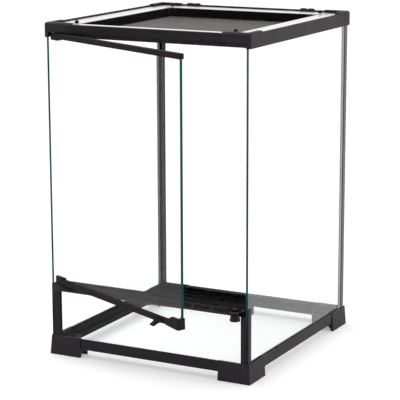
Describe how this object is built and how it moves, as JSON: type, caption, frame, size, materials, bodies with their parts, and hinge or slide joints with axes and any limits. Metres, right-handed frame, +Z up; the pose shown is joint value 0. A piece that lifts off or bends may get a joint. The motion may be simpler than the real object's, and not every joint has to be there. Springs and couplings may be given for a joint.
{
  "type": "reptile terrarium",
  "caption": "Front-opening glass terrarium with a black plastic frame, one side-hung glass door over a vent bar, and a lift-out mesh cover.",
  "frame": {"origin": "bottom centre of the whole bounding box with the door standing open as stored, on the surface that the feet stand on", "axes": "+Z up along the longest extent, +X to the right seen from the front, the door faces -Y"},
  "size_m": [0.301, 0.4364, 0.4518],
  "materials": {
    "black_plastic": "satin moulded plastic, finely textured",
    "gloss_black": "glossy black plastic",
    "silver_trim": "satin silver",
    "clear_glass": "polished float glass, faint green",
    "pale_strip": "pale sealing strip",
    "steel": "bright steel pin",
    "mesh": "fine woven steel mesh"
  },
  "bodies": {
    "enclosure": {"foot_front_left": "black_plastic", "foot_front_right": "black_plastic", "foot_rear_left": "black_plastic", "foot_rear_right": "black_plastic", "base_rail_front": "black_plastic", "base_rail_rear": "black_plastic", "base_rail_left": "black_plastic", "base_rail_right": "black_plastic", "floor_glass": "clear_glass", "front_glass": "clear_glass", "rear_glass": "clear_glass", "side_glass_left": "clear_glass", "side_glass_right": "clear_glass", "front_post_left": "black_plastic", "front_post_right": "black_plastic", "rear_post_left": "black_plastic", "rear_post_right": "black_plastic", "post_seals": "pale_strip", "vent_bar": "black_plastic", "lock_boss": "black_plastic", "top_block_front_left": "black_plastic", "top_block_front_right": "black_plastic", "top_block_rear_left": "black_plastic", "top_block_rear_right": "black_plastic", "top_rail_front": "black_plastic", "top_rail_rear": "black_plastic", "top_rail_left": "black_plastic", "top_rail_right": "black_plastic", "trim_front": "silver_trim", "trim_rear": "silver_trim", "trim_left": "silver_trim", "trim_right": "silver_trim", "trim_corners": "silver_trim"},
    "door": {"door_glass": "clear_glass", "door_top_rail": "black_plastic", "door_bottom_rail": "black_plastic", "door_hinge_top": "black_plastic", "door_hinge_bottom": "black_plastic", "hinge_pins": "steel", "door_handle": "black_plastic", "latch_bracket": "black_plastic", "latch_pin": "steel"},
    "door_latch": {"latch_lever": "black_plastic"},
    "lock": {"lock_knob": "gloss_black", "lock_arm": "black_plastic"},
    "cover": {"cover_rail_front": "black_plastic", "cover_rail_rear": "black_plastic", "cover_rail_left": "black_plastic", "cover_rail_right": "black_plastic", "cover_corner_keys": "black_plastic", "cover_mesh": "mesh"},
    "turn_latch_front_left": {"turn_latch_front_left": "black_plastic"},
    "turn_latch_front_right": {"turn_latch_front_right": "black_plastic"},
    "turn_latch_rear_left": {"turn_latch_rear_left": "black_plastic"},
    "turn_latch_rear_right": {"turn_latch_rear_right": "black_plastic"},
    "inlet_shutter_1": {"inlet_shutter_1": "black_plastic"},
    "inlet_shutter_2": {"inlet_shutter_2": "black_plastic"},
    "inlet_shutter_3": {"inlet_shutter_3": "black_plastic"},
    "inlet_shutter_4": {"inlet_shutter_4": "black_plastic"}
  },
  "joints": [
    {"name": "door_swing", "type": "hinge", "parent": "enclosure", "child": "door", "pos_m": [-0.1388, -0.09231, 0.25], "axis": [0, 0, 1], "range_deg": [-74.8, 25.2]},
    {"name": "door_latch_rock", "type": "hinge", "parent": "door", "child": "door_latch", "pos_m": [0.07231, -0.19795, 0.1024], "axis": [0.9048, -0.4258, 0], "range_deg": [-13, 0]},
    {"name": "lock_turn", "type": "hinge", "parent": "enclosure", "child": "lock", "pos_m": [0.1325, -0.10451, 0.099], "axis": [0, 0, 1], "range_deg": [-180, 0]},
    {"name": "cover_lift", "type": "slide", "parent": "enclosure", "child": "cover", "axis": [0, 0, 1], "range_m": [0, 0.06]},
    {"name": "latch_front_left_turn", "type": "hinge", "parent": "enclosure", "child": "turn_latch_front_left", "pos_m": [-0.116, -0.07031, 0.4485], "axis": [0, 0, 1], "range_deg": [-90, 0]},
    {"name": "latch_front_right_turn", "type": "hinge", "parent": "enclosure", "child": "turn_latch_front_right", "pos_m": [0.116, -0.07031, 0.4485], "axis": [0, 0, 1], "range_deg": [0, 90]},
    {"name": "latch_rear_left_turn", "type": "hinge", "parent": "enclosure", "child": "turn_latch_rear_left", "pos_m": [-0.116, 0.19069, 0.4485], "axis": [0, 0, 1], "range_deg": [0, 90]},
    {"name": "latch_rear_right_turn", "type": "hinge", "parent": "enclosure", "child": "turn_latch_rear_right", "pos_m": [0.116, 0.19069, 0.4485], "axis": [0, 0, 1], "range_deg": [-90, 0]},
    {"name": "inlet_shutter_1_lift", "type": "slide", "parent": "enclosure", "child": "inlet_shutter_1", "axis": [0, 0, 1], "range_m": [0, 0.01]},
    {"name": "inlet_shutter_2_lift", "type": "slide", "parent": "enclosure", "child": "inlet_shutter_2", "axis": [0, 0, 1], "range_m": [0, 0.01]},
    {"name": "inlet_shutter_3_lift", "type": "slide", "parent": "enclosure", "child": "inlet_shutter_3", "axis": [0, 0, 1], "range_m": [0, 0.01]},
    {"name": "inlet_shutter_4_lift", "type": "slide", "parent": "enclosure", "child": "inlet_shutter_4", "axis": [0, 0, 1], "range_m": [0, 0.01]}
  ]
}
